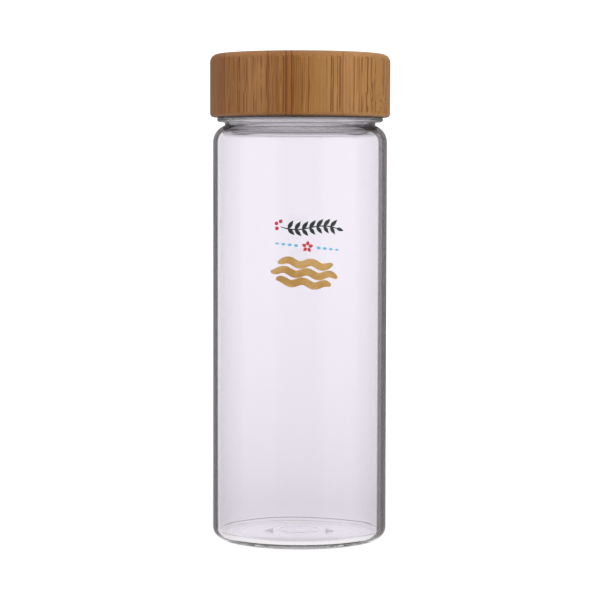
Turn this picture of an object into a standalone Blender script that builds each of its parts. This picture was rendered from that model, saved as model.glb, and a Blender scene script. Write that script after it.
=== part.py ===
"""Glass water bottle with a turned bamboo screw cap.

Frame: metres, +Z up, origin at the centre of the base on the surface it stands on, printed front towards -Y.
The cap leaves along the thread's right-hand helix: one turn counter-clockwise from above lifts it by LEAD.
"""

import math

import bmesh
import bpy

MM = 0.001

# Driving sizes
BODY_RADIUS = 35.0 * MM
WALL = 2.2 * MM
CAP_RADIUS = 36.2 * MM
CAP_BOTTOM = 170.0 * MM
CAP_TOP = 195.2 * MM
RIM_TOP = 185.0 * MM
SEGMENTS = 48
MERGE = 0.05 * MM  # well under the smallest detail

# Glass: base
BASE_CORNER = 4.6 * MM
FOOT_INNER_RADIUS = 27.6 * MM
PUSH_UP = 1.3 * MM
FLOOR = 2.4 * MM
INNER_CORNER = 3.0 * MM

# Glass: shoulder and neck
SHOULDER_Z = 160.0 * MM
SHOULDER_ROUND = 7.2 * MM
GROOVE_RADIUS = 30.3 * MM
GROOVE_TOP = 167.6 * MM
BEAD_RADIUS = 33.4 * MM
BEAD_TOP = 169.7 * MM
BEAD_TOP_EDGE = 0.45 * MM
BEAD_BOTTOM = 168.1 * MM
BEAD_LOWER_EDGE = 1.0 * MM
NECK_RADIUS = 29.9 * MM
MOUTH_RADIUS = 27.4 * MM
RIM_ROUND = 0.9 * MM

# Screw thread: two starts on the neck, two ridges in the liner half-way between them
STARTS = 2
LEAD = 8.0 * MM
RIDGE_POINTS_PER_TURN = 30
NECK_RIDGE = 1.2 * MM
NECK_RIDGE_BOTTOM = 174.0 * MM
NECK_RIDGE_ARC = 300.0
LINER_RIDGE = 1.1 * MM
LINER_RIDGE_ARC = 240.0
LINER_RIDGE_DELAY = 30.0
RUN_OUT_ARC = 24.0
RUN_OUT_DEPTH = 0.7 * MM
RUN_OUT_SIZE = 0.35

# Cap: the liner sits in the bamboo's recess, held by adhesive under the bamboo's top
CAP_BORE = 33.3 * MM
CAP_EDGE = 3.2 * MM
CAP_LOWER_EDGE = 1.5 * MM
CAP_MOUTH_EDGE = 0.4 * MM
CAP_RECESS_TOP = 190.0 * MM
LINER_RADIUS = 32.9 * MM
LINER_BORE = 31.6 * MM
LINER_BOTTOM = 170.6 * MM
LINER_CEILING = 187.4 * MM
LINER_TOP = 188.9 * MM
PLUG_OUTER = 26.9 * MM
PLUG_INNER = 25.7 * MM
PLUG_BOTTOM = 182.6 * MM
GLUE_GROOVE_DEPTH = 0.5 * MM
GLUE_GROOVE_BOTTOM = 180.0 * MM
GLUE_GROOVE_TOP = 184.0 * MM

SEAL_INNER = 27.3 * MM
SEAL_OUTER = 31.2 * MM
SEAL_BOTTOM = 185.3 * MM
SEAL_TOP = 187.1 * MM
SEAL_EDGE = 0.45 * MM

ADHESIVE_RADIUS = 30.0 * MM
ADHESIVE_INNER = 8.0 * MM
ADHESIVE_BOTTOM = 189.2 * MM
ADHESIVE_TOP = 189.7 * MM


def clear_scene():
    for obj in list(bpy.data.objects):
        bpy.data.objects.remove(obj)


def new_collection(name):
    collection = bpy.data.collections.new(name)
    bpy.context.scene.collection.children.link(collection)
    return collection


def new_material(name, color, roughness, alpha=1.0, transmission=0.0):
    material = bpy.data.materials.new(name)
    material.use_nodes = True
    shader = material.node_tree.nodes["Principled BSDF"]
    shader.inputs["Base Color"].default_value = (*color, 1.0)
    shader.inputs["Roughness"].default_value = roughness
    shader.inputs["Metallic"].default_value = 0.0
    shader.inputs["Alpha"].default_value = alpha
    shader.inputs["Transmission Weight"].default_value = transmission
    return material


def arc(center, radius, start, end, steps):
    """Points (r, z) on an arc about center, its angles in degrees from +r towards +z, both ends included."""
    angles = [math.radians(start + (end - start) * i / steps) for i in range(steps + 1)]
    return [(center[0] + radius * math.cos(a), center[1] + radius * math.sin(a)) for a in angles]


def turned(name, profile, collection, closed):
    """A profile of (r, z) points, down its outer side, turned about Z by a Screw modifier."""
    mesh = bpy.data.meshes.new(name)
    edges = [(i, i + 1) for i in range(len(profile) - 1)]
    if closed:
        edges.append((len(profile) - 1, 0))
    mesh.from_pydata([(r, 0.0, z) for r, z in profile], edges, [])
    obj = bpy.data.objects.new(name, mesh)
    collection.objects.link(obj)
    screw = obj.modifiers.new("Turn", "SCREW")
    screw.axis = "Z"
    screw.steps = SEGMENTS
    screw.render_steps = SEGMENTS
    screw.use_merge_vertices = True
    screw.merge_threshold = MERGE
    return obj


def helix_point(radius, bottom, degrees, first_angle):
    """A point on the thread's right-hand helix, at `degrees` past the start of the ridge."""
    angle = math.radians(first_angle + degrees)
    return (radius * math.cos(angle), radius * math.sin(angle), bottom + LEAD * degrees / 360.0)


def ridge(name, radius, thickness, bottom, first_angle, sweep, outwards, collection):
    """One start of a thread: a round ridge along the helix that runs out into the wall at both ends."""
    curve = bpy.data.curves.new(name, "CURVE")
    curve.dimensions = "3D"
    curve.bevel_depth = thickness
    curve.bevel_resolution = 2
    curve.use_fill_caps = True
    steps = round(RIDGE_POINTS_PER_TURN * sweep / 360.0)
    spline = curve.splines.new("POLY")
    spline.points.add(steps)
    for i, point in enumerate(spline.points):
        degrees = sweep * i / steps
        fullness = min(1.0, degrees / RUN_OUT_ARC, (sweep - degrees) / RUN_OUT_ARC)
        into_wall = -outwards * RUN_OUT_DEPTH * (1.0 - fullness)
        point.co = (*helix_point(radius + into_wall, bottom, degrees, first_angle), 1.0)
        point.radius = RUN_OUT_SIZE + (1.0 - RUN_OUT_SIZE) * fullness
    tube = bpy.data.objects.new(name + "_curve", curve)
    collection.objects.link(tube)
    return solid_of(tube, name, collection)


def solid_of(tube, name, collection):
    """The curve made a closed mesh, so that a Boolean can use it."""
    bpy.context.view_layer.update()
    graph = bpy.context.evaluated_depsgraph_get()
    mesh = bpy.data.meshes.new_from_object(tube.evaluated_get(graph))
    caps = bmesh.new()
    caps.from_mesh(mesh)
    bmesh.ops.remove_doubles(caps, verts=caps.verts, dist=0.01 * MM)
    bmesh.ops.recalc_face_normals(caps, faces=caps.faces)
    caps.to_mesh(mesh)
    caps.free()
    solid = bpy.data.objects.new(name, mesh)
    solid.matrix_world = tube.matrix_world
    collection.objects.link(solid)
    bpy.data.objects.remove(tube)
    solid.hide_render = True
    solid.display_type = "WIRE"
    return solid


def join_ridges(obj, ridges):
    for tool in ridges:
        union = obj.modifiers.new(tool.name, "BOOLEAN")
        union.operation = "UNION"
        union.object = tool


def finish(obj, material, parent):
    obj.data.materials.append(material)
    obj.parent = parent


def glass_bottle(parts, tools, parent):
    """One blown piece: pushed-up base, straight wall, round shoulder, bead and threaded neck."""
    inner_radius = BODY_RADIUS - WALL
    shoulder_r = BODY_RADIUS - SHOULDER_ROUND
    shoulder_end = math.degrees(math.acos((GROOVE_RADIUS - shoulder_r) / SHOULDER_ROUND))
    inside = [(0.0, FLOOR + PUSH_UP)]
    inside += [(12.0 * MM, FLOOR + 0.8 * PUSH_UP), (22.0 * MM, FLOOR + 0.3 * PUSH_UP)]
    inside += arc((inner_radius - INNER_CORNER, FLOOR + INNER_CORNER), INNER_CORNER, -90, 0, 3)
    inside += arc((shoulder_r, SHOULDER_Z), SHOULDER_ROUND - WALL, 0, 80, 4)
    inside += [(MOUTH_RADIUS, SHOULDER_Z + SHOULDER_ROUND)]
    rim = arc((MOUTH_RADIUS + RIM_ROUND, RIM_TOP - RIM_ROUND), RIM_ROUND, 180, 90, 2)
    rim += arc((NECK_RADIUS - RIM_ROUND, RIM_TOP - RIM_ROUND), RIM_ROUND, 90, 0, 2)
    bead = [(NECK_RADIUS, BEAD_TOP + 0.6 * MM), (NECK_RADIUS + 0.6 * MM, BEAD_TOP)]
    bead += arc((BEAD_RADIUS - BEAD_TOP_EDGE, BEAD_TOP - BEAD_TOP_EDGE), BEAD_TOP_EDGE, 90, 0, 2)
    bead += arc((BEAD_RADIUS - BEAD_LOWER_EDGE, BEAD_BOTTOM + BEAD_LOWER_EDGE), BEAD_LOWER_EDGE, 0, -90, 3)
    bead += [(GROOVE_RADIUS + 0.5 * MM, BEAD_BOTTOM), (GROOVE_RADIUS, GROOVE_TOP)]
    outside = arc((shoulder_r, SHOULDER_Z), SHOULDER_ROUND, shoulder_end, 0, 5)
    outside += arc((BODY_RADIUS - BASE_CORNER, BASE_CORNER), BASE_CORNER, 0, -90, 4)
    outside += [(FOOT_INNER_RADIUS, 0.0), (22.0 * MM, 0.3 * PUSH_UP), (12.0 * MM, 0.8 * PUSH_UP)]
    outside += [(0.0, PUSH_UP)]
    bottle = turned("glass_bottle", inside + rim + bead + outside, parts, closed=False)
    ridges = [
        ridge(
            f"neck_ridge_{start}",
            NECK_RADIUS,
            NECK_RIDGE,
            NECK_RIDGE_BOTTOM,
            360.0 * start / STARTS,
            NECK_RIDGE_ARC,
            outwards=1,
            collection=tools,
        )
        for start in range(STARTS)
    ]
    join_ridges(bottle, ridges)
    glass = new_material("clear_glass", (0.93, 0.93, 0.96), 0.02, alpha=0.35, transmission=1.0)
    finish(bottle, glass, parent)


def bamboo_shell(parts, parent):
    """The turned bamboo cap: a thick top, a thin skirt and a blind recess for the liner."""
    corner_r = CAP_RADIUS - CAP_EDGE
    profile = [(0.0, CAP_TOP)]
    profile += arc((corner_r, CAP_TOP - CAP_EDGE), CAP_EDGE, 90, 0, 4)
    profile += arc((CAP_RADIUS - CAP_LOWER_EDGE, CAP_BOTTOM + CAP_LOWER_EDGE), CAP_LOWER_EDGE, 0, -90, 3)
    profile += [(CAP_BORE + CAP_MOUTH_EDGE, CAP_BOTTOM), (CAP_BORE, CAP_BOTTOM + CAP_MOUTH_EDGE)]
    profile += [(CAP_BORE, CAP_RECESS_TOP), (0.0, CAP_RECESS_TOP)]
    shell = turned("bamboo_shell", profile, parts, closed=False)
    finish(shell, new_material("bamboo", (0.38, 0.19, 0.08), 0.5), parent)


def threaded_liner(parts, tools, parent):
    """The moulded insert: a ceiling, a skirt with the inside thread and a plug ring that enters the mouth."""
    groove_radius = LINER_RADIUS - GLUE_GROOVE_DEPTH
    profile = [
        (0.0, LINER_TOP),
        (LINER_RADIUS, LINER_TOP),
        (LINER_RADIUS, GLUE_GROOVE_TOP),
        (groove_radius, GLUE_GROOVE_TOP - GLUE_GROOVE_DEPTH),
        (groove_radius, GLUE_GROOVE_BOTTOM + GLUE_GROOVE_DEPTH),
        (LINER_RADIUS, GLUE_GROOVE_BOTTOM),
        (LINER_RADIUS, LINER_BOTTOM),
        (LINER_BORE + 0.3 * MM, LINER_BOTTOM),
        (LINER_BORE, LINER_BOTTOM + 0.5 * MM),
        (LINER_BORE, LINER_CEILING),
        (PLUG_OUTER, LINER_CEILING),
        (PLUG_OUTER, PLUG_BOTTOM + 0.8 * MM),
        (PLUG_OUTER - 0.6 * MM, PLUG_BOTTOM),
        (PLUG_INNER, PLUG_BOTTOM),
        (PLUG_INNER, LINER_CEILING),
        (0.0, LINER_CEILING),
    ]
    liner = turned("threaded_liner", profile, parts, closed=False)
    half_pitch = LEAD / STARTS / 2
    bottom = NECK_RIDGE_BOTTOM - half_pitch + LEAD * LINER_RIDGE_DELAY / 360.0
    ridges = [
        ridge(
            f"liner_ridge_{start}",
            LINER_BORE,
            LINER_RIDGE,
            bottom,
            LINER_RIDGE_DELAY + 360.0 * start / STARTS,
            LINER_RIDGE_ARC,
            outwards=-1,
            collection=tools,
        )
        for start in range(STARTS)
    ]
    join_ridges(liner, ridges)
    finish(liner, new_material("white_liner", (0.8, 0.8, 0.78), 0.4), parent)


def seal_ring(parts, parent):
    """A flat silicone washer with rounded edges, between the rim and the liner's ceiling."""
    low, high = SEAL_BOTTOM + SEAL_EDGE, SEAL_TOP - SEAL_EDGE
    left, right = SEAL_INNER + SEAL_EDGE, SEAL_OUTER - SEAL_EDGE
    profile = arc((right, high), SEAL_EDGE, 90, 0, 2) + arc((right, low), SEAL_EDGE, 0, -90, 2)
    profile += arc((left, low), SEAL_EDGE, -90, -180, 2) + arc((left, high), SEAL_EDGE, 180, 90, 2)
    ring = turned("seal_ring", profile, parts, closed=True)
    finish(ring, new_material("silicone", (0.85, 0.86, 0.85), 0.45), parent)


def cap_adhesive(parts, parent):
    """The layer of glue that holds the liner under the bamboo's top, squeezed out to a flat ring."""
    profile = [
        (ADHESIVE_RADIUS, ADHESIVE_TOP),
        (ADHESIVE_RADIUS, ADHESIVE_BOTTOM),
        (ADHESIVE_INNER, ADHESIVE_BOTTOM),
        (ADHESIVE_INNER, ADHESIVE_TOP),
    ]
    layer = turned("cap_adhesive", profile, parts, closed=True)
    finish(layer, new_material("adhesive", (0.75, 0.65, 0.4), 0.3), parent)


def new_empty(name, collection, parent=None):
    """A joint's frame. Both joints lie on the bottle's own axis, so it stays at the origin."""
    empty = bpy.data.objects.new(name, None)
    collection.objects.link(empty)
    empty.parent = parent
    return empty


def main():
    clear_scene()
    parts = new_collection("glass_water_bottle")
    tools = new_collection("ridges")
    bottle_frame = new_empty("bottle_frame", parts)
    seal_frame = new_empty("cap_rise_axis", parts, bottle_frame)
    cap_frame = new_empty("cap_turn_axis", parts, seal_frame)
    glass_bottle(parts, tools, bottle_frame)
    seal_ring(parts, seal_frame)
    bamboo_shell(parts, cap_frame)
    threaded_liner(parts, tools, cap_frame)
    cap_adhesive(parts, cap_frame)


main()
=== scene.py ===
"""Looks of a glass water bottle with a turned bamboo screw cap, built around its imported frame.

Metres, +Z up, the bottle's axis on Z, its printed front towards -Y. Every piece is a surface worked out as
whole arrays: a profile turned about the axis, with a thread added to its wall where it has one, or a section
carried along a path and wrapped round the glass.
"""

import math

import bpy
import numpy as np
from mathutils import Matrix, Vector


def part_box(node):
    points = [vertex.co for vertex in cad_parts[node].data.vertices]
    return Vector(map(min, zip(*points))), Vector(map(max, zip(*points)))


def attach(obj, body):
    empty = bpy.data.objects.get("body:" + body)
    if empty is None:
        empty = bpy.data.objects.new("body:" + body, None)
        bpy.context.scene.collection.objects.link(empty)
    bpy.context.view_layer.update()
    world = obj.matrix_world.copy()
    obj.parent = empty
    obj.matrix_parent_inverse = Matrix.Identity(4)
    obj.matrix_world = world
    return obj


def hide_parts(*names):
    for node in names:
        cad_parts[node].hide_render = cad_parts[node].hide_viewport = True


MM = 0.001
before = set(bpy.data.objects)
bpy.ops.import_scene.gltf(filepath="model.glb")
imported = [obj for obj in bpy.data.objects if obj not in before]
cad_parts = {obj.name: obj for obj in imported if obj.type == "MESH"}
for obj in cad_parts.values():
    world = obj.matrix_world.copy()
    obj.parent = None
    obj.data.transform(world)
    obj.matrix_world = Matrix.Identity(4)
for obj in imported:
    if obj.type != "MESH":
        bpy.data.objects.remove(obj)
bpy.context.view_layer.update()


# ---------------------------------------------------------------- sizes, from the frame


def reach(node):
    """A round node's outer radius, bottom and top."""
    low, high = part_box(node)
    return high.x, low.z, high.z


BODY_RADIUS, _, RIM_TOP = reach("glass_bottle")
CAP_RADIUS, CAP_BOTTOM, CAP_TOP = reach("bamboo_shell")
LINER_RADIUS, LINER_BOTTOM, LINER_TOP = reach("threaded_liner")
SEAL_OUTER, SEAL_BOTTOM, SEAL_TOP = reach("seal_ring")
GLUE_RADIUS, GLUE_BOTTOM, GLUE_TOP = reach("cap_adhesive")

# Glass, from the foot up; angles are in degrees
WALL = 2.2 * MM
INNER_RADIUS = BODY_RADIUS - WALL
HEEL = 4.6 * MM
FOOT_RADIUS = 27.6 * MM
PUSH_UP = 1.3 * MM
MOULD_RING_RADIUS = 8.0 * MM
MOULD_RING_HEIGHT = 0.04 * MM
MOULD_RING_WIDTH = 0.6 * MM
FLOOR = 2.4 * MM
FLOOR_CORNER = 3.0 * MM
SHOULDER_Z = 160.0 * MM
SHOULDER_ROUND = 7.2 * MM
INNER_SHOULDER_END = 72.0
THROAT_ROUND = 2.4 * MM
THROAT_START = 238.0
THROAT_Z = SHOULDER_Z + SHOULDER_ROUND + 0.3 * MM
GROOVE_RADIUS = 30.3 * MM
GROOVE_TOP = 167.6 * MM
GROOVE_FILLET = 0.5 * MM
GROOVE_FILLET_Z = GROOVE_TOP - 0.15 * MM
BEAD_RADIUS = 33.4 * MM
BEAD_BOTTOM = 168.1 * MM
BEAD_LOWER_EDGE = 1.0 * MM
BEAD_TOP = 169.7 * MM
BEAD_TOP_EDGE = 0.45 * MM
BEAD_FILLET = 0.35 * MM
NECK_RADIUS = 29.9 * MM
MOUTH_RADIUS = 27.4 * MM
RIM_ROUND = 1.15 * MM

# The blown wall's inside varies by UNEVEN as a sum of waves, and evens out over EVEN_END at its ends. Each
# wave has its share, its lobes round the wall, its phase, and the height in which it turns by one radian.
UNEVEN = 0.05 * MM
EVEN_END = 15.0 * MM
WALL_WAVES = ((1.0, 3.0, 0.8, 55.0 * MM), (0.6, 5.0, -1.1, -38.0 * MM))

# Screw thread; the liner's ridges lie half a pitch under the neck's and start a little later
STARTS = 2
LEAD = 8.0 * MM
RUN_OUT = math.radians(30.0)
NECK_RIDGE = {"height": 1.2 * MM, "half": 1.75 * MM, "bottom": 174.0 * MM, "first": 0.0, "sweep": 300.0}
LINER_DELAY = 30.0
LINER_RIDGE = {
    "height": 1.1 * MM,
    "half": 1.6 * MM,
    "bottom": NECK_RIDGE["bottom"] - LEAD / STARTS / 2 + LEAD * LINER_DELAY / 360.0,
    "first": LINER_DELAY,
    "sweep": 240.0,
}

# Cap
CAP_EDGE = 3.2 * MM
CAP_LOWER_EDGE = 1.5 * MM
CAP_BORE = LINER_RADIUS + 0.4 * MM
CAP_BORE_EDGE = 0.4 * MM
CAP_RECESS_TOP = GLUE_TOP + 0.3 * MM
LINER_BORE = 31.6 * MM
LINER_CEILING = LINER_TOP - 1.5 * MM
LINER_EDGE = 0.25 * MM
PLUG_OUTER = 26.9 * MM
PLUG_INNER = 25.7 * MM
PLUG_BOTTOM = 182.6 * MM
SEAL_INNER = 27.3 * MM
SEAL_EDGE = 0.45 * MM
GLUE_INNER = 8.0 * MM
GLUE_EDGE = 0.2 * MM

# Surfaces are turned in this many steps, and radii closer than this are the same wall
AROUND = 256
SAME_WALL = 0.001 * MM


# ---------------------------------------------------------------- meshes from arrays


def shaped(name, points, faces, material):
    """A smooth mesh object at the origin from points (n, 3) and lists of corners."""
    mesh = bpy.data.meshes.new(name)
    mesh.from_pydata(points.tolist(), [], faces)
    mesh.shade_smooth()
    mesh.update()
    made = bpy.data.objects.new(name, mesh)
    bpy.context.scene.collection.objects.link(made)
    mesh.materials.append(material)
    return made


def build(name, points, faces, body, material):
    """A piece of the bottle that rides on a body, with the material that it is given."""
    piece = shaped(name, points, faces, material)
    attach(piece, body)
    return piece


def quads(rows, columns, closed_rows):
    """Corner numbers of the four-sided faces of a rows x columns grid whose last column meets the first."""
    down = np.arange(rows if closed_rows else rows - 1)[:, None]
    along = np.arange(columns)[None, :]
    below = (down + 1) % rows
    after = (along + 1) % columns
    corners = np.stack(
        [
            down * columns + along,
            below * columns + along,
            below * columns + after,
            down * columns + after,
        ],
        axis=-1,
    )
    return corners.reshape(-1, 4).tolist()


def fan(first, pole):
    """Triangles that join a pole to the ring of AROUND corners numbered from first."""
    along = np.arange(AROUND)
    return np.stack([np.full(AROUND, pole), first + along, first + (along + 1) % AROUND], axis=-1)


def arc(center, radius, start, end, steps):
    """Points on an arc: centre plus radius times the cosine and sine of evenly spaced angles, in degrees."""
    angle = np.radians(np.linspace(start, end, steps + 1))
    return np.stack([center[0] + radius * np.cos(angle), center[1] + radius * np.sin(angle)], axis=1)


def line(start, end, steps):
    """Evenly spaced points from start to end, without the two ends."""
    share = np.linspace(0.0, 1.0, steps + 1)[1:-1, None]
    return np.array(start) * (1.0 - share) + np.array(end) * share


def turned(profile, radius_added=None):
    """Rings of a turned surface: the point (r, z) goes to (r cos a, r sin a, z) for AROUND angles a.

    radius_added(r, z, a) is added to r, which is how a thread or an uneven wall is made.
    """
    angle = np.linspace(0.0, 2.0 * math.pi, AROUND, endpoint=False)[None, :]
    r = profile[:, 0:1]
    z = profile[:, 1:2]
    wide = r + (radius_added(r, z, angle) if radius_added else 0.0 * angle)
    return np.stack([wide * np.cos(angle), wide * np.sin(angle), z + 0.0 * angle], axis=-1)


def turned_body(name, profile, body, material, radius_added=None):
    """A solid of revolution whose profile starts and ends on the axis, with a pole at each end."""
    rings = turned(profile[1:-1], radius_added)
    rows = len(rings)
    count = rows * AROUND
    poles = [[0.0, 0.0, profile[0, 1]], [0.0, 0.0, profile[-1, 1]]]
    points = np.vstack([rings.reshape(-1, 3), poles])
    faces = quads(rows, AROUND, closed_rows=False)
    faces += fan(0, count).tolist()
    faces += fan(count - AROUND, count + 1)[:, ::-1].tolist()
    return build(name, points, faces, body, material)


def turned_ring(name, profile, body, material):
    """A ring whose closed section never meets the axis."""
    rings = turned(profile)
    faces = quads(len(rings), AROUND, closed_rows=True)
    return build(name, rings.reshape(-1, 3), faces, body, material)


def helix_ridge(z, angle, height, half, bottom, first, sweep):
    """Height of a two-start ridge: (1 - t squared) squared, t the distance up or down from the helix.

    The helix rises LEAD a turn from `bottom` at the angle `first`, over `sweep` degrees, and the ridge fades
    in and out over RUN_OUT at its ends with the smooth step 3s^2 - 2s^3.
    """
    ridge = 0.0 * (z + angle)
    full = math.radians(sweep)
    for start in range(STARTS):
        along = (angle - math.radians(first) - 2.0 * math.pi * start / STARTS) % (2.0 * math.pi)
        share = np.clip(np.minimum(along, full - along) / RUN_OUT, 0.0, 1.0)
        fullness = share * share * (3.0 - 2.0 * share)
        t = np.clip((z - bottom - LEAD * along / (2.0 * math.pi)) / half, -1.0, 1.0)
        ridge = np.maximum(ridge, height * fullness * (1.0 - t * t) ** 2)
    return ridge


# ---------------------------------------------------------------- materials as expressions


class Value:
    """A number socket that Python's operators work on; each operation adds one Math node."""

    def __init__(self, tree, socket):
        self.tree = tree
        self.socket = socket

    def math(self, operation, *others):
        """One Math node on this value and the others."""
        inputs = dict(enumerate((self, *others)))
        return self.tree.add("ShaderNodeMath", {"operation": operation}, inputs)

    def __add__(self, other):
        return self.math("ADD", other)

    def __sub__(self, other):
        return self.math("SUBTRACT", other)

    def __mul__(self, other):
        return self.math("MULTIPLY", other)

    def __truediv__(self, other):
        return self.math("DIVIDE", other)

    def __radd__(self, other):
        return self + other

    def __rmul__(self, other):
        return self * other

    def __rsub__(self, other):
        return self * -1.0 + other

    def __rtruediv__(self, other):
        return self**-1.0 * other

    def __pow__(self, other):
        return self.math("POWER", other)

    def __abs__(self):
        return self.math("ABSOLUTE")

    def at_least(self, other):
        """The larger of the two."""
        return self.math("MAXIMUM", other)

    def at_most(self, other):
        """The smaller of the two."""
        return self.math("MINIMUM", other)

    def step(self, low, high):
        """0 below low, 1 above high and smooth between them; falls instead where low is above high."""
        settings = {"interpolation_type": "SMOOTHSTEP"}
        inputs = {"Value": self, "From Min": low, "From Max": high, "To Min": 0.0, "To Max": 1.0}
        return self.tree.add("ShaderNodeMapRange", settings, inputs)


class Tree:
    """A node tree that expressions are written into."""

    def __init__(self, nodes_and_links):
        self.nodes = nodes_and_links.nodes
        self.links = nodes_and_links.links

    def put(self, socket, value):
        """Sets a socket to a number or colour, or links a value to it."""
        if isinstance(value, Value):
            self.links.new(value.socket, socket)
        else:
            socket.default_value = value

    def add(self, kind, settings, inputs, output=0):
        """Any node: its type, its settings, the values or links of its sockets, and the output wanted."""
        node = self.nodes.new(kind)
        for name, value in settings.items():
            if name == "stops":
                self.ramp(node, value)
            else:
                setattr(node, name, value)
        for name, value in inputs.items():
            self.put(node.inputs[name], value)
        return Value(self, node.outputs[output])

    def ramp(self, node, stops):
        """Gives a ramp its stops: pairs of a place and a colour."""
        elements = node.color_ramp.elements
        while len(elements) < len(stops):
            elements.new(0.5)
        for element, (place, color) in zip(elements, stops):
            element.position = place
            element.color = (*color, 1.0)

    def split(self, place):
        """A place's X, Y and Z as numbers."""
        return [self.add("ShaderNodeSeparateXYZ", {}, {"Vector": place}, axis) for axis in "XYZ"]

    def joined(self, x, y, z):
        """The place whose X, Y and Z are these numbers."""
        return self.add("ShaderNodeCombineXYZ", {}, {"X": x, "Y": y, "Z": z})

    def noise(self, place, scale, detail, roughness=0.5):
        """Cloudy noise about 0.5."""
        inputs = {"Vector": place, "Scale": scale, "Detail": detail, "Roughness": roughness}
        return self.add("ShaderNodeTexNoise", {}, inputs)

    def grain(self, x, y, z, across, along, detail, roughness=0.5):
        """Noise drawn out along Z: X and Y are multiplied by `across`, and Z by the smaller `along`."""
        return self.noise(self.joined(x * across, y * across, z * along), 1.0, detail, roughness)

    def nearest(self, x, y, scale):
        """Distance in X and Y, times scale, to the nearest of many scattered points."""
        inputs = {"Vector": self.joined(x, y, 0.0), "Scale": scale}
        return self.add("ShaderNodeTexVoronoi", {"voronoi_dimensions": "2D"}, inputs, "Distance")

    def mix(self, share, first, second):
        """Colours first to second by share."""
        ends = [value if isinstance(value, Value) else (*value, 1.0) for value in (first, second)]
        return self.add("ShaderNodeMix", {"data_type": "RGBA"}, {0: share, 6: ends[0], 7: ends[1]}, 2)

    def bump(self, height, distance, strength):
        """Relief of a height between 0 and 1, times a distance."""
        inputs = {"Height": height, "Distance": distance, "Strength": strength}
        return self.add("ShaderNodeBump", {}, inputs)


class Finish(Tree):
    """A material's node tree with one Principled shader, and the place on the piece to paint by."""

    def __init__(self, name, **constants):
        self.material = bpy.data.materials.new(name)
        self.material.use_nodes = True
        super().__init__(self.material.node_tree)
        self.shader = self.nodes["Principled BSDF"]
        for socket, value in constants.items():
            self.shader.inputs[socket.replace("_", " ")].default_value = value
        self.place = self.add("ShaderNodeTexCoord", {}, {}, "Object")
        self.x, self.y, self.z = self.split(self.place)

    def done(self, **sockets):
        """Links what varies over the surface to the shader, and gives the material."""
        for name, value in sockets.items():
            self.put(self.shader.inputs[name.replace("_", " ")], value)
        return self.material


def moulded(name, color, roughness, grain, glow=0.0):
    """Moulded or cast stuff: an even colour that drifts a little, with a fine skin."""
    stuff = Finish(name, Emission_Color=(*color, 1.0), Emission_Strength=glow)
    cloud = stuff.noise(stuff.place, scale=90.0, detail=2.0)
    skin = stuff.noise(stuff.place, scale=2500.0, detail=2.0)
    shade = tuple(0.93 * part for part in color)
    return stuff.done(
        Base_Color=stuff.mix(cloud, color, shade),
        Roughness=roughness + (skin - 0.5) * 0.1,
        Normal=stuff.bump(skin, grain, 0.3),
    )


# ---------------------------------------------------------------- glass

GLASS_FACE = (0.836, 0.814, 0.857)
GLASS_BASE = (0.89, 0.86, 0.89)
# GLASS_EDGE is the near black of the painted shade on the glass's edges; the heel line and the floor marks
# use it too
GLASS_EDGE = (0.012, 0.008, 0.010)
BLACK = (0.0, 0.0, 0.0)

# Painted shade on the solid neck, by height: a painted shadow in the groove, the bead left bright, and near
# black painted shade in the gap under the cap
NECK_TONES_BOTTOM = 164.0 * MM
NECK_TONES_HEIGHT = 8.0 * MM
NECK_GROOVE_SHADE = (0.36, 0.35, 0.37)
NECK_BRIGHT = (0.85, 0.83, 0.85)
NECK_GAP_SHADE = (0.0015, 0.0007, 0.0004)
NECK_TONES = [
    (0.05, GLASS_FACE),
    (0.20, (0.60, 0.585, 0.61)),
    (0.32, NECK_GROOVE_SHADE),
    (0.36, (0.40, 0.39, 0.41)),
    (0.42, NECK_BRIGHT),
    (0.51, NECK_BRIGHT),
    (0.56, (0.48, 0.465, 0.48)),
    (0.64, (0.40, 0.385, 0.40)),
    (0.68, NECK_GAP_SHADE),
    (0.80, NECK_GAP_SHADE),
    (0.86, (0.84, 0.82, 0.85)),
]

# Each tint fades in from the first value of its pair to the second: heights and radii in metres, and
# edge_on from 0, seen straight on, to 1, seen along the surface
BASE_TINT = (3.7 * MM, 3.2 * MM)
SKIN_TINT = (0.8 * MM, 2.8 * MM)
SKIN_BLEND = 0.2 * MM
NECK_TINT = (NECK_TONES_BOTTOM, 165.5 * MM)
NECK_INSET = 0.4 * MM
# Painted shade on the glass's outside where it is seen edge-on: a faint one all round, a wider one on the +X
# side, and a near black rim
FAINT_SHADE_EDGE_ON = (0.2, 0.62)
FAINT_SHADE_SHARE = 0.25
WIDE_SHADE_SIDE = (0.0, 20.0 * MM)
WIDE_SHADE_EDGE_ON = (0.55, 0.585)
WIDE_SHADE_SHARE = 0.92
RIM_SHADE_EDGE_ON = (0.65, 0.69)
HEEL_LINE_Z = 1.9 * MM
HEEL_LINE_BLEND = (0.35 * MM, 0.15 * MM)
HEEL_LINE_INSET = 0.5 * MM
HEEL_LINE_SHARE = 0.8
MARK_TIP = 14.7 * MM
MARK_LENGTH = 4.4 * MM
MARK_SLOPE = 1.3
MARK_Y = -5.4 * MM
MARK_SIDE_BLEND = (-0.05 * MM, 0.25 * MM)
MARK_BACK_BLEND = 0.4 * MM
MARK_TINT = (1.9 * MM, 2.3 * MM)
MARK_SHARE = 0.78


def outer_skin(glass, away):
    """1 on the outside of the wall and shoulder, 0 on their inside, by the foot and above the groove.

    Outside is where the distance from the shoulder's centre, measured sideways below it, is more than the
    radius of the middle of the wall.
    """
    sideways = (away - (BODY_RADIUS - SHOULDER_ROUND)).at_least(0.0)
    upward = (glass.z - SHOULDER_Z).at_least(0.0)
    distance = (sideways**2.0 + upward**2.0) ** 0.5
    middle = SHOULDER_ROUND - WALL / 2.0
    outside = distance.step(middle - SKIN_BLEND, middle + SKIN_BLEND)
    return outside * glass.z.step(*SKIN_TINT) * glass.z.step(BEAD_BOTTOM, GROOVE_TOP)


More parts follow.
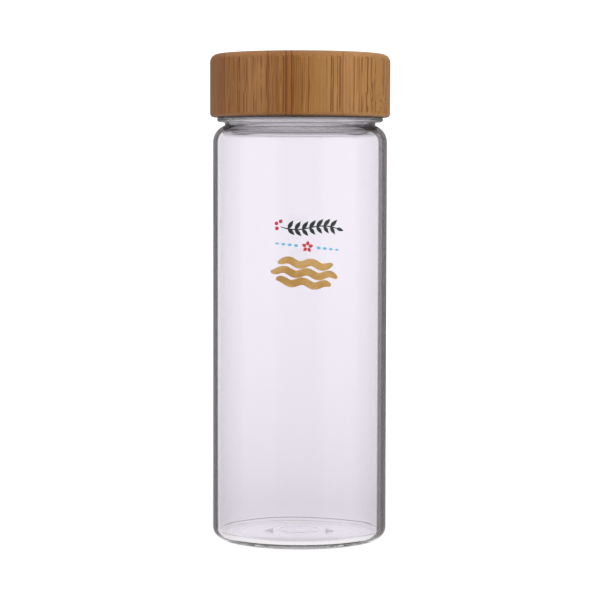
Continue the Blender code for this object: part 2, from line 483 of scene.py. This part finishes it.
def neck_painted_shade(glass, away, tint):
    """The tint, and from the mouth's radius outwards the painted shade of the solid neck, which varies with
    height.
    """
    height = (glass.z - NECK_TONES_BOTTOM) / NECK_TONES_HEIGHT
    tones = glass.add("ShaderNodeValToRGB", {"stops": NECK_TONES}, {"Fac": height})
    on_neck = away.step(MOUTH_RADIUS + NECK_INSET, NECK_RADIUS - NECK_INSET) * glass.z.step(*NECK_TINT)
    return glass.mix(on_neck, tint, tones)


def heel_line(glass, away):
    """A thin line round the outside of the heel."""
    at_height = abs(glass.z - HEEL_LINE_Z).step(*HEEL_LINE_BLEND)
    return at_height * away.step(BODY_RADIUS - HEEL, BODY_RADIUS - HEEL + HEEL_LINE_INSET)


def floor_marks(glass):
    """Two small triangles on the floor, pointing away from its middle.

    A point is in one where its distance from the mark's line is less than MARK_SLOPE times its distance
    from the tip, and where it is no further than MARK_LENGTH from the tip.
    """
    along = abs(glass.x)
    within = (MARK_TIP - along) * MARK_SLOPE - abs(glass.y - MARK_Y)
    back = MARK_TIP - MARK_LENGTH
    mark = within.step(*MARK_SIDE_BLEND) * along.step(back, back + MARK_BACK_BLEND)
    return mark * glass.z.step(*MARK_TINT)


def clear_glass():
    """Clear glass with a faint lavender cast.

    The outside has painted shade where it is seen edge-on, standing in for the dark edges that glass shows,
    and this painted shade is wider on the +X side. The solid neck has painted shade in bands by height, and
    the base is clearer, with a line round its heel.
    """
    glass = Finish("clear_glass", Roughness=0.0, IOR=1.47, Transmission_Weight=1.0)
    away = (glass.x**2.0 + glass.y**2.0) ** 0.5
    outside = outer_skin(glass, away)
    edge_on = glass.add("ShaderNodeLayerWeight", {}, {"Blend": 0.5}, "Facing")
    tint = glass.mix(glass.z.step(*BASE_TINT), GLASS_FACE, GLASS_BASE)
    # Painted shade in bands by height on the solid neck
    tint = neck_painted_shade(glass, away, tint)
    # Painted shade on the outside where it is seen edge-on, wider on the +X side
    tint = glass.mix(edge_on.step(*FAINT_SHADE_EDGE_ON) * FAINT_SHADE_SHARE * outside, tint, BLACK)
    wide_shade_side = glass.x.step(*WIDE_SHADE_SIDE) * edge_on.step(*WIDE_SHADE_EDGE_ON)
    tint = glass.mix(wide_shade_side * outside * WIDE_SHADE_SHARE, tint, GLASS_EDGE)
    tint = glass.mix(edge_on.step(*RIM_SHADE_EDGE_ON) * outside, tint, GLASS_EDGE)
    tint = glass.mix(heel_line(glass, away) * HEEL_LINE_SHARE, tint, GLASS_EDGE)
    tint = glass.mix(floor_marks(glass) * MARK_SHARE, tint, GLASS_EDGE)
    return glass.done(Base_Color=tint)


def bottle_profile():
    """(r, z) from the inner floor's centre, up the inside, over the rim, down the outside, under the base.

    The floor rises by PUSH_UP times (1 - (r / R)^2)^2, R the inside radius. The base rises by PUSH_UP times
    (1 - (r / R)^2)^1.5, R the foot's radius, less a mould ring shaped as a bell curve.
    """
    r = np.linspace(0.0, INNER_RADIUS - FLOOR_CORNER, 24)[:-1]
    floor = np.stack([r, FLOOR + PUSH_UP * (1.0 - (r / INNER_RADIUS) ** 2) ** 2], axis=1)
    r = np.linspace(FOOT_RADIUS, 0.0, 110)
    ring = MOULD_RING_HEIGHT * np.exp(-(((r - MOULD_RING_RADIUS) / MOULD_RING_WIDTH) ** 2))
    base = np.stack([r, PUSH_UP * (1.0 - (r / FOOT_RADIUS) ** 2) ** 1.5 - ring], axis=1)
    shoulder = (BODY_RADIUS - SHOULDER_ROUND, SHOULDER_Z)
    shoulder_start = math.degrees(math.acos((GROOVE_RADIUS - shoulder[0]) / SHOULDER_ROUND))
    rim_z = RIM_TOP - RIM_ROUND
    low_neck = BEAD_TOP + BEAD_FILLET
    return np.vstack(
        [
            floor,
            arc((INNER_RADIUS - FLOOR_CORNER, FLOOR + FLOOR_CORNER), FLOOR_CORNER, -90, 0, 8),
            line((INNER_RADIUS, FLOOR + FLOOR_CORNER), (INNER_RADIUS, SHOULDER_Z), 30),
            arc(shoulder, SHOULDER_ROUND - WALL, 0, INNER_SHOULDER_END, 10),
            arc((MOUTH_RADIUS + THROAT_ROUND, THROAT_Z), THROAT_ROUND, THROAT_START, 180, 6),
            line((MOUTH_RADIUS, THROAT_Z), (MOUTH_RADIUS, rim_z), 8),
            arc((MOUTH_RADIUS + RIM_ROUND, rim_z), RIM_ROUND, 180, 90, 6),
            arc((NECK_RADIUS - RIM_ROUND, rim_z), RIM_ROUND, 90, 0, 6),
            line((NECK_RADIUS, rim_z), (NECK_RADIUS, low_neck), 64),
            arc((NECK_RADIUS + BEAD_FILLET, low_neck), BEAD_FILLET, 180, 270, 4),
            arc((BEAD_RADIUS - BEAD_TOP_EDGE, BEAD_TOP - BEAD_TOP_EDGE), BEAD_TOP_EDGE, 90, 0, 6),
            arc((BEAD_RADIUS - BEAD_LOWER_EDGE, BEAD_BOTTOM + BEAD_LOWER_EDGE), BEAD_LOWER_EDGE, 0, -90, 10),
            arc((GROOVE_RADIUS + GROOVE_FILLET, GROOVE_FILLET_Z), GROOVE_FILLET, 90, 180, 4),
            arc(shoulder, SHOULDER_ROUND, shoulder_start, 0, 14),
            line((BODY_RADIUS, SHOULDER_Z), (BODY_RADIUS, HEEL), 30),
            arc((BODY_RADIUS - HEEL, HEEL), HEEL, 0, -90, 10),
            base,
        ]
    )


def glass_relief(r, z, angle):
    """The thread on the neck's outside, and the few hundredths by which a blown wall's inside varies."""
    on_neck = (np.abs(r - NECK_RADIUS) < SAME_WALL) & (z > BEAD_TOP)
    thread = np.where(on_neck, helix_ridge(z, angle, **NECK_RIDGE), 0.0)
    on_wall = (np.abs(r - INNER_RADIUS) < SAME_WALL) & (z < SHOULDER_Z)
    fade = np.clip((z - FLOOR - FLOOR_CORNER) / EVEN_END, 0.0, 1.0)
    fade = fade * np.clip((SHOULDER_Z - z) / EVEN_END, 0.0, 1.0)
    wave = sum(share * np.sin(lobes * angle + phase + z / twist) for share, lobes, phase, twist in WALL_WAVES)
    return thread + np.where(on_wall, UNEVEN * fade * wave, 0.0)


def make_glass():
    """The bottle in one piece, with its thread and its slightly uneven wall."""
    profile = bottle_profile()
    bottle = turned_body("bottle_glass", profile, "bottle", clear_glass(), glass_relief)
    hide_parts("glass_bottle")


# ---------------------------------------------------------------- bamboo

BAMBOO_DEEP = (0.17, 0.065, 0.02)
BAMBOO_PALE = (0.38, 0.195, 0.065)
BAMBOO_STREAK = (0.110, 0.030, 0.001)
BAMBOO_GLUE = (0.095, 0.022, 0.001)
BAMBOO_RED = (0.205, 0.068, 0.014)

# The boards' colours across the cap, from its -X side at 0 to its +X side at 1: partly the boards' own tones,
# and partly painted light that makes them lighter towards the +X side, where the key light stands
BOARD_TONES_AND_SIDE_LIGHT = [
    (0.0, (0.200, 0.074, 0.014)),
    (0.088, (0.205, 0.076, 0.014)),
    (0.094, (0.250, 0.104, 0.025)),
    (0.30, (0.246, 0.102, 0.025)),
    (0.33, (0.204, 0.079, 0.014)),
    (0.46, (0.202, 0.078, 0.014)),
    (0.47, (0.205, 0.080, 0.014)),
    (0.60, (0.248, 0.114, 0.028)),
    (0.73, (0.290, 0.134, 0.036)),
    (0.80, (0.325, 0.156, 0.047)),
    (1.0, (0.315, 0.145, 0.036)),
]

# Each glue line's place on X and half-width in millimetres, its strength and its colour
GLUE_LINES = [
    (-29.6, 0.25, 0.4, BAMBOO_GLUE),
    (-12.5, 0.28, 0.6, BAMBOO_GLUE),
    (-4.4, 1.5, 0.6, BAMBOO_RED),
    (-5.5, 0.32, 0.95, BAMBOO_GLUE),
    (-3.3, 0.30, 0.95, BAMBOO_GLUE),
    (16.6, 0.28, 0.5, BAMBOO_GLUE),
]

# How fine each pattern is across and along the fibres, in steps a millimetre
BEND = {"across": 0.05, "along": 0.045, "detail": 2.0}
SWIRL = {"across": 0.16, "along": 0.11, "detail": 1.0}
FIBRES = {"across": 1.7, "along": 0.03, "detail": 3.0, "roughness": 0.7}
PATCHES = {"across": 0.12, "along": 0.0, "detail": 1.0}
BREAKS = {"across": 1.3, "along": 0.06, "detail": 1.0}
PORES = {"across": 7.0, "along": 0.5, "detail": 2.0}

# How much of the grain shows, dark and pale, and the pores
DEEP_FIBRES = (0.58, 0.32)
DEEP_SHARE = 0.42
PALE_FIBRES = (0.50, 0.70)
PALE_SHARE = 0.35
PORE_EDGE = (0.62, 0.72)
PORE_SHARE = 0.22

# Bends and the swirl in the +X board, in millimetres
X_BEND = 1.6
Y_BEND = 1.2
BOARD_BEND = 0.3
SWIRL_SIDE = (22.0, 29.0)
SWIRL_UNDER_TOP = 6.0
SWIRL_OVER_BOTTOM = 4.0
SWIRL_REACH = 7.0

# Bundles: how fine, how far their scattered points are moved, their edges, the patches that they grow in
BUNDLE_SCALE = 0.92
BUNDLE_SHIFT = (40.0, 40.0)
BUNDLE_EDGE = (0.30, 0.21)
BUNDLE_PATCHES = (0.26, 0.44)
FINE_SCALE = 1.5
FINE_SHIFT = (-15.0, 60.0)
FINE_EDGE = (0.32, 0.22)
FINE_PATCHES = (0.60, 0.40)
FINE_SHARE = 0.65
BREAK_EDGE = (0.34, 0.44)
PLAIN_BOARD_EDGE = (-30.0, -28.8)
PLAIN_BOARD_SHARE = 0.25

# Streaks fade out over these distances from the cap's bottom, from its top, and towards its rounded edge
LATHE_BOTTOM = (0.7, 1.8)
LATHE_TOP = (1.5, 2.8)
TOP_FADE = 1.5
TOP_SHARE = 0.7
STREAK_SHARE = 0.85


def bent_grain(wood, x, y, z, bend):
    """X and Y moved by the grain's bend, and X by a swirl too, low in the board on the +X side."""
    swirl = wood.grain(x, y, z, **SWIRL) - 0.5
    low = z.step(CAP_TOP / MM - SWIRL_UNDER_TOP, CAP_BOTTOM / MM + SWIRL_OVER_BOTTOM)
    swirl = swirl * x.step(*SWIRL_SIDE) * low * SWIRL_REACH
    return x + bend * X_BEND + swirl, y + bend * Y_BEND


def dark_bundles(wood, x, y, z, x_grain, y_grain):
    """1 on a dark bundle: near one of two sets of scattered points, broken off here and there along Z."""
    patches = wood.grain(x, y, z, **PATCHES)
    coarse = wood.nearest(x_grain + BUNDLE_SHIFT[0], y_grain + BUNDLE_SHIFT[1], BUNDLE_SCALE)
    fine = wood.nearest(x_grain + FINE_SHIFT[0], y_grain + FINE_SHIFT[1], FINE_SCALE)
    streak = coarse.step(*BUNDLE_EDGE) * patches.step(*BUNDLE_PATCHES)
    streak = streak.at_least(fine.step(*FINE_EDGE) * patches.step(*FINE_PATCHES) * FINE_SHARE)
    streak = streak * wood.grain(x, y, z, **BREAKS).step(*BREAK_EDGE)
    return streak * (PLAIN_BOARD_SHARE + (1.0 - PLAIN_BOARD_SHARE) * x.step(*PLAIN_BOARD_EDGE))


def cut_by_lathe(x, y, z):
    """How much of the bundles shows: all round the side, most of it on the top, little on the edges."""
    bottom, top = CAP_BOTTOM / MM, CAP_TOP / MM
    flat_top = (CAP_RADIUS - CAP_EDGE) / MM
    side = z.step(bottom + LATHE_BOTTOM[0], bottom + LATHE_BOTTOM[1])
    side = side * z.step(top - LATHE_TOP[0], top - LATHE_TOP[1])
    away = (x * x + y * y) ** 0.5
    return (side + away.step(flat_top, flat_top - TOP_FADE) * TOP_SHARE).at_most(1.0)


def bamboo():
    """Caramel bamboo: boards glued side by side across X, with their fibres and dark bundles along Z.

    The lathe cuts the bundles lengthwise round the side, where they show as streaks, and across on the top,
    where they show as dots. Places are in millimetres here.
    """
    wood = Finish("bamboo", IOR=1.45)
    x, y, z = wood.x / MM, wood.y / MM, wood.z / MM
    bend = wood.grain(x, y, z, **BEND) - 0.5
    across = (x + bend * BOARD_BEND) / (2.0 * CAP_RADIUS / MM) + 0.5
    # The boards' tones, with painted light that makes the +X side lighter
    tone = wood.add("ShaderNodeValToRGB", {"stops": BOARD_TONES_AND_SIDE_LIGHT}, {"Fac": across})
    x_grain, y_grain = bent_grain(wood, x, y, z, bend)
    fibres = wood.grain(x_grain, y_grain, z, **FIBRES)
    tone = wood.mix(fibres.step(*DEEP_FIBRES) * DEEP_SHARE, tone, BAMBOO_DEEP)
    tone = wood.mix(fibres.step(*PALE_FIBRES) * PALE_SHARE, tone, BAMBOO_PALE)
    streak = dark_bundles(wood, x, y, z, x_grain, y_grain) * cut_by_lathe(x, y, z)
    tone = wood.mix(streak * STREAK_SHARE, tone, BAMBOO_STREAK)
    pores = wood.grain(x, y, z, **PORES).step(*PORE_EDGE)
    tone = wood.mix(pores * PORE_SHARE, tone, BAMBOO_DEEP)
    for middle, width, strength, color in GLUE_LINES:
        glue = abs(x - middle + bend * BOARD_BEND).step(width, width * 0.6)
        tone = wood.mix(glue * strength, tone, color)
    relief = fibres * 0.5 - streak - pores * 0.5
    return wood.done(
        Base_Color=tone,
        Roughness=0.50 + streak * 0.12 - fibres * 0.06,
        Normal=wood.bump(relief, 0.02 * MM, 0.5),
    )


def make_bamboo():
    """The turned shell: flat top, rounded edges, straight side, and the recess that holds the liner."""
    low, high = CAP_BOTTOM + CAP_LOWER_EDGE, CAP_TOP - CAP_EDGE
    recess = CAP_RECESS_TOP - CAP_BORE_EDGE
    mouth = CAP_BOTTOM + CAP_BORE_EDGE
    profile = np.vstack(
        [
            [[0.0, CAP_TOP]],
            line((0.0, CAP_TOP), (CAP_RADIUS - CAP_EDGE, CAP_TOP), 11),
            arc((CAP_RADIUS - CAP_EDGE, high), CAP_EDGE, 90, 0, 14),
            line((CAP_RADIUS, high), (CAP_RADIUS, low), 12),
            arc((CAP_RADIUS - CAP_LOWER_EDGE, low), CAP_LOWER_EDGE, 0, -90, 10),
            arc((CAP_BORE + CAP_BORE_EDGE, mouth), CAP_BORE_EDGE, -90, -180, 4),
            line((CAP_BORE, mouth), (CAP_BORE, recess), 6),
            arc((CAP_BORE - CAP_BORE_EDGE, recess), CAP_BORE_EDGE, 0, 90, 4),
            line((CAP_BORE - CAP_BORE_EDGE, CAP_RECESS_TOP), (0.0, CAP_RECESS_TOP), 7),
            [[0.0, CAP_RECESS_TOP]],
        ]
    )
    shell = turned_body("bamboo_cap", profile, "cap", bamboo())
    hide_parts("bamboo_shell")


# ---------------------------------------------------------------- liner, seal and adhesive

# HIDDEN_GLOW lifts the pale pieces under the cap, which little light reaches through the glass
LINER_WHITE = (0.86, 0.86, 0.85)
SILICONE_GREY = (0.78, 0.79, 0.78)
ADHESIVE_AMBER = (0.62, 0.50, 0.28)
HIDDEN_GLOW = 0.32


def liner_relief(r, z, angle):
    """The liner's inside thread, which takes its height off the bore's radius."""
    on_bore = (np.abs(r - LINER_BORE) < SAME_WALL) & (z < LINER_CEILING)
    return np.where(on_bore, -helix_ridge(z, angle, **LINER_RIDGE), 0.0)


def liner_edge(r, z, start, end):
    """One of the liner's rounded edges, centred on (r, z)."""
    return arc((r, z), LINER_EDGE, start, end, 3)


def make_liner():
    """The liner's top, outside, threaded bore, ceiling and plug ring, in that order."""
    top, bottom = LINER_TOP - LINER_EDGE, LINER_BOTTOM + LINER_EDGE
    ceiling = LINER_CEILING - LINER_EDGE
    plug_low = PLUG_BOTTOM + LINER_EDGE
    profile = np.vstack(
        [
            [[0.0, LINER_TOP]],
            liner_edge(LINER_RADIUS - LINER_EDGE, top, 90, 0),
            line((LINER_RADIUS, top), (LINER_RADIUS, bottom), 8),
            liner_edge(LINER_RADIUS - LINER_EDGE, bottom, 0, -90),
            liner_edge(LINER_BORE + LINER_EDGE, bottom, -90, -180),
            line((LINER_BORE, bottom), (LINER_BORE, ceiling), 80),
            liner_edge(LINER_BORE - LINER_EDGE, ceiling, 0, 90),
            liner_edge(PLUG_OUTER + LINER_EDGE, ceiling, 90, 180),
            liner_edge(PLUG_OUTER - LINER_EDGE, plug_low, 0, -90),
            liner_edge(PLUG_INNER + LINER_EDGE, plug_low, -90, -180),
            liner_edge(PLUG_INNER - LINER_EDGE, ceiling, 0, 90),
            [[0.0, LINER_CEILING]],
        ]
    )
    material = moulded("white_liner", LINER_WHITE, 0.38, 0.02 * MM, HIDDEN_GLOW)
    liner = turned_body("cap_liner", profile, "cap", material, liner_relief)
    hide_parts("threaded_liner")


def rounded_ring(inner, outer, bottom, top, edge):
    """A rectangular section with rounded corners, down its outer side."""
    corners = (
        (outer - edge, top - edge, 90, 0),
        (outer - edge, bottom + edge, 0, -90),
        (inner + edge, bottom + edge, -90, -180),
        (inner + edge, top - edge, 180, 90),
    )
    return np.vstack([arc((r, z), edge, start, end, 5) for r, z, start, end in corners])


def make_seal_and_glue():
    """Two flat rings: the seal under the liner's ceiling, and the adhesive between liner and bamboo."""
    section = rounded_ring(SEAL_INNER, SEAL_OUTER, SEAL_BOTTOM, SEAL_TOP, SEAL_EDGE)
    material = moulded("silicone", SILICONE_GREY, 0.42, 0.01 * MM, HIDDEN_GLOW)
    ring = turned_ring("silicone_seal", section, "seal", material)
    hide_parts("seal_ring")
    section = rounded_ring(GLUE_INNER, GLUE_RADIUS, GLUE_BOTTOM, GLUE_TOP, GLUE_EDGE)
    material = moulded("adhesive", ADHESIVE_AMBER, 0.25, 0.05 * MM)
    layer = turned_ring("adhesive_layer", section, "cap", material)
    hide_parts("cap_adhesive")


# ---------------------------------------------------------------- print on the glass

# The print's middle, as a way round the glass from the front and a height; its tilt in degrees; the
# distances of its back and front from the glass; and a faint glow, because little light comes through it
PRINT_MIDDLE = (2.6 * MM, 116.0 * MM)
PRINT_TILT = -6.0
PRINT_BACK = 0.02 * MM
PRINT_FRONT = 0.08 * MM
INK_GLOW = 0.3

# The flat print is drawn in millimetres: a leaf, petal or drop has its length and its half-width
THINNEST = 0.03
STEM_REACH = 11.5
STEM_HEIGHT = 10.6
STEM_HALF = 0.24
LEAF_SPAN = 0.72
LEAF_PAIRS = 7
UPPER_LEAF = (3.9, 0.80)
UPPER_HEADING = 56.0
LOWER_LEAF = (3.6, 0.75)
LOWER_HEADING = -44.0
LEAF_LEAN = 10.0
TIP_LEAF = (3.2, 0.7)
TIP_PLACE = 0.95
TIP_HEADING = -12.0
BERRY_PLACES = ((-12.6, 9.0), (-13.0, 10.9), (-11.4, 11.9))
BERRY_RADIUS = 0.75
BLOSSOM = (0.0, 3.2)
BLOSSOM_EYE = 0.45
PETALS = 5
PETAL = (1.9, 0.70)
DROPS = 4
DROP_START = 3.6
DROP_STEP = 2.5
DROP_LENGTH = 1.8
DROP_HALF = 0.62
DROP_SHRINK = 0.07
WAVE_REACHES = (11.0, 13.5, 11.0)
WAVE_TOP = -3.4
WAVE_STEP = 3.8
WAVE_LENGTH = 9.0
WAVE_LAG = 0.9
WAVE_SWING = 0.7
WAVE_HALF = 1.45


def stroke(points, half_width):
    """Flat outline of a stroke: the path's points, and its half-width times the path's unit normal.

    The unit normal is the path's direction turned a quarter left.
    """
    direction = np.gradient(points, axis=0)
    direction /= np.linalg.norm(direction, axis=1, keepdims=True)
    side = np.stack([-direction[:, 1], direction[:, 0]], axis=1) * np.maximum(half_width, THINNEST)[:, None]
    return points - side, points + side


def leaf(place, heading, length, half_width):
    """A straight stroke from place along heading, in degrees; its half-width goes as sin(pi t^0.8)."""
    t = np.linspace(0.0, 1.0, 13)
    way = np.array([math.cos(math.radians(heading)), math.sin(math.radians(heading))])
    return stroke(np.array(place) + length * t[:, None] * way, half_width * np.sin(math.pi * t**0.8))


def dot(place, radius):
    """A round stroke: its half-width is the radius times the square root of 1 - u^2, u from -1 to 1."""
    u = -np.cos(np.linspace(0.0, math.pi, 15))
    points = np.array(place) + radius * np.stack([u, 0.0 * u], axis=1)
    return stroke(points, radius * np.sqrt(1.0 - u**2))


def sprig_stem(t):
    """The stem's centre line: across for t from -1 to 1, while it sways as a sine and rises a little."""
    return np.stack([STEM_REACH * t, STEM_HEIGHT + 0.8 * t + 0.9 * np.sin(math.pi * t)], axis=-1)


def sprig():
    """The stem, its leaves in pairs, and a last leaf at its tip."""
    t = np.linspace(-1.0, 1.0, 41)
    strokes = [stroke(sprig_stem(t), STEM_HALF * (1.0 - t**8) ** 0.5)]
    for along in np.linspace(-LEAF_SPAN, LEAF_SPAN, LEAF_PAIRS):
        joint = sprig_stem(np.array(along))
        strokes.append(leaf(joint, UPPER_HEADING - LEAF_LEAN * along, *UPPER_LEAF))
        strokes.append(leaf(joint, LOWER_HEADING - LEAF_LEAN * along, *LOWER_LEAF))
    strokes.append(leaf(sprig_stem(np.array(TIP_PLACE)), TIP_HEADING, *TIP_LEAF))
    return strokes


def berries():
    """Three berries at the start of the stem, and a blossom of five petals below it."""
    strokes = [dot(place, BERRY_RADIUS) for place in BERRY_PLACES]
    for petal in range(PETALS):
        heading = 90.0 + 360.0 * petal / PETALS
        turn = math.radians(heading)
        start = (BLOSSOM[0] + BLOSSOM_EYE * math.cos(turn), BLOSSOM[1] + BLOSSOM_EYE * math.sin(turn))
        strokes.append(leaf(start, heading, *PETAL))
    return strokes


def drops():
    """A row of drops on each side of the blossom, pointing away from it and getting thinner."""
    strokes = []
    for column in range(DROPS):
        out = DROP_START + DROP_STEP * column
        half_width = DROP_HALF - DROP_SHRINK * column
        strokes.append(leaf((BLOSSOM[0] + out, BLOSSOM[1]), 0.0, DROP_LENGTH, half_width))
        strokes.append(leaf((BLOSSOM[0] - out, BLOSSOM[1]), 180.0, DROP_LENGTH, half_width))
    return strokes


def waves():
    """Ribbons whose centre lines are sines, each a little on from the one above; the middle is longest."""
    strokes = []
    u = np.linspace(-1.0, 1.0, 61)
    for row, reach_out in enumerate(WAVE_REACHES):
        s = reach_out * u
        swing = WAVE_SWING * np.sin(2.0 * math.pi * s / WAVE_LENGTH + WAVE_LAG * row)
        path = np.stack([s, WAVE_TOP - WAVE_STEP * row + swing], axis=1)
        strokes.append(stroke(path, WAVE_HALF * (1.0 - u**6) ** 0.5))
    return strokes


def printed(name, strokes, material):
    """Strokes given the print's thickness and wrapped round the glass, each closed at both ends.

    A flat point (u, v) is turned by the tilt, moved to the print's middle and goes to (r cos a, r sin a, z)
    with a = u / R - 90 degrees, on the back radius and on the front radius.
    """
    tilt = math.radians(PRINT_TILT)
    turn = np.array([[math.cos(tilt), math.sin(tilt)], [-math.sin(tilt), math.cos(tilt)]])
    radius = BODY_RADIUS + np.array([PRINT_FRONT, PRINT_FRONT, PRINT_BACK, PRINT_BACK])
    points, faces = [], []
    first = 0
    for right, left in strokes:
        corners = np.stack([right, left, left, right], axis=1) @ turn * MM
        angle = (corners[..., 0] + PRINT_MIDDLE[0]) / BODY_RADIUS - math.pi / 2.0
        z = corners[..., 1] + PRINT_MIDDLE[1]
        points.append(np.stack([radius * np.cos(angle), radius * np.sin(angle), z], axis=-1).reshape(-1, 3))
        rows = len(right)
        end = first + 4 * (rows - 1)
        faces += [[first + corner for corner in face] for face in quads(rows, 4, closed_rows=False)]
        faces += [[first, first + 1, first + 2, first + 3], [end + 3, end + 2, end + 1, end]]
        first += 4 * rows
    piece = build(name, np.vstack(points), faces, "bottle", material)
    piece.data.shade_flat()


def ink(name, color, shade, roughness=0.4, metallic=0.0):
    """Screen ink: a colour that drifts to a shade of it, with a fine skin."""
    film = Finish(name, Metallic=metallic, Emission_Color=(*color, 1.0), Emission_Strength=INK_GLOW)
    cloud = film.noise(film.place, scale=180.0, detail=3.0, roughness=0.6)
    skin = film.noise(film.place, scale=3500.0, detail=1.0)
    return film.done(
        Base_Color=film.mix(cloud.step(0.35, 0.65), color, shade),
        Roughness=roughness + (skin - 0.5) * 0.1,
        Normal=film.bump(skin, 0.01 * MM, 0.3),
    )


def make_print():
    """Four pieces of ink, one for each colour."""
    printed("print_sprig", sprig(), ink("ink_dark", (0.008, 0.013, 0.010), (0.014, 0.020, 0.016)))
    printed("print_berries", berries(), ink("ink_red", (0.35, 0.028, 0.040), (0.30, 0.022, 0.032)))
    printed("print_drops", drops(), ink("ink_blue", (0.09, 0.28, 0.42), (0.10, 0.31, 0.45)))
    printed("print_waves", waves(), ink("ink_gold", (0.30, 0.165, 0.045), (0.42, 0.26, 0.10), 0.35, 0.25))


# ---------------------------------------------------------------- studio

# The lens in millimetres, the place in metres, and the angles in degrees
CAMERA_LENS = 132.7
CAMERA_PLACE = (0.0, -0.8926, 0.149)
CAMERA_DIP = 3.37
CAMERA_ROLL = -0.12

# The floor is flat to SWEEP_START and then curls up on the radius SWEEP_CURL, as a studio's sweep does. Its
# glow is less in the middle: it falls by FLOOR_DIM inside DIM_RADIUS, and comes back over about DIM_FADE.
SWEEP_START = 2.5
SWEEP_CURL = 1.6
FLOOR_GLOW = 1.28
FLOOR_DIM = 0.21
DIM_RADIUS = 0.1
DIM_FADE = 0.25

# The room's glow, and what the ceiling, the ground and each soft box add to it; each edge is a pair of
# values of Z, or of the cosine of the angle from the box, between which its glow fades in
ROOM_GLOW = 0.35
CEILING_GLOW = 0.6
CEILING_EDGE = (0.35, 0.8)
GROUND_GLOW = 0.5
GROUND_EDGE = (-0.1, -0.6)
BOX_AZIMUTH = math.radians(55.0)
BOX_SIDE_EDGE = (0.82, 0.97)
BOX_FOOT_EDGE = (-0.3, 0.0)
LEFT_BOX_GLOW = 0.8
RIGHT_BOX_GLOW = 1.0

# Each light's name, place in metres, size in metres and power in watts
LIGHTS = (
    ("key", (1.0, -1.2, 0.75), 0.7, 20.0),
    ("fill", (-1.3, -1.0, 0.6), 0.8, 12.0),
    ("back", (0.2, 1.3, 1.0), 0.8, 14.0),
)


def make_camera():
    """A long lens in front of the bottle, looking slightly down on it."""
    camera = bpy.data.cameras.new("camera")
    camera.lens = CAMERA_LENS
    camera.sensor_width = 36.0
    camera.clip_start = 0.01
    viewer = bpy.data.objects.new("camera", camera)
    bpy.context.scene.collection.objects.link(viewer)
    viewer.location = CAMERA_PLACE
    viewer.rotation_euler = (math.radians(90.0 - CAMERA_DIP), math.radians(CAMERA_ROLL), 0.0)
    bpy.context.scene.camera = viewer
    bpy.context.scene.view_settings.view_transform = "Standard"


def let_light_through_glass():
    """Enough bounces for light that runs along inside the glass base and neck."""
    light_paths = bpy.context.scene.cycles
    light_paths.max_bounces = 32
    light_paths.glossy_bounces = 16
    light_paths.transmission_bounces = 32


def make_world():
    """A dim room, brighter above and below, with a tall soft box on each side of the front.

    The floor's sweep hides it from straight view, so it is seen in gloss and lights what is matt.
    """
    world = bpy.data.worlds.new("studio")
    bpy.context.scene.world = world
    world.use_nodes = True
    sky = Tree(world.node_tree)
    way = sky.add("ShaderNodeTexCoord", {}, {}, "Generated")
    x, y, z = sky.split(way)
    glow = ROOM_GLOW + CEILING_GLOW * z.step(*CEILING_EDGE) + GROUND_GLOW * z.step(*GROUND_EDGE)
    for side, strength in ((-1.0, LEFT_BOX_GLOW), (1.0, RIGHT_BOX_GLOW)):
        facing_box = x * (side * math.sin(BOX_AZIMUTH)) + y * -math.cos(BOX_AZIMUTH)
        glow = glow + strength * facing_box.step(*BOX_SIDE_EDGE) * z.step(*BOX_FOOT_EDGE)
    background = sky.nodes["Background"].inputs
    background["Color"].default_value = (1.0, 1.0, 1.0, 1.0)
    sky.put(background["Strength"], glow)


def make_lights():
    """Square area lights that point at the middle of the cap and aren't seen in gloss or through glass."""
    target = np.array([0.0, 0.0, (CAP_BOTTOM + CAP_TOP) / 2.0])
    for name, place, size, power in LIGHTS:
        light = bpy.data.lights.new(name, "AREA")
        light.shape = "SQUARE"
        light.size = size
        light.energy = power
        lamp = bpy.data.objects.new(name, light)
        bpy.context.scene.collection.objects.link(lamp)
        lamp.location = place
        lamp.visible_glossy = False
        lamp.visible_transmission = False
        x, y, z = target - np.array(place)
        lamp.rotation_euler = (math.atan2(math.hypot(x, y), -z), 0.0, math.atan2(y, x) - math.pi / 2.0)


def make_floor():
    """A pale lit floor, flat and then curling up, the same on every side.

    It isn't seen in gloss, so that glass keeps its dark edges.
    """
    profile = np.vstack(
        [
            line((0.0, 0.0), (SWEEP_START, 0.0), 11),
            arc((SWEEP_START, SWEEP_CURL), SWEEP_CURL, -90, 0, 18),
        ]
    )
    rings = turned(profile[::-1])
    count = len(rings) * AROUND
    points = np.vstack([rings.reshape(-1, 3), [[0.0, 0.0, 0.0]]])
    faces = quads(len(rings), AROUND, closed_rows=False)
    faces += fan(count - AROUND, count)[:, ::-1].tolist()
    pale = Finish("pale_floor", Base_Color=(*BLACK, 1.0), Roughness=0.9, Specular_IOR_Level=0.0)
    away = pale.add("ShaderNodeVectorMath", {"operation": "LENGTH"}, {0: pale.place}, "Value")
    glow = 1.0 - FLOOR_DIM / (1.0 + (away - DIM_RADIUS).at_least(0.0) / DIM_FADE)
    pale.done(Emission_Color=glow, Emission_Strength=FLOOR_GLOW)
    floor = shaped("floor", points, faces, pale.material)
    floor.visible_glossy = False
    floor.visible_diffuse = False


make_camera()
let_light_through_glass()
make_world()
make_lights()
make_floor()
make_glass()
make_bamboo()
make_liner()
make_seal_and_glue()
make_print()
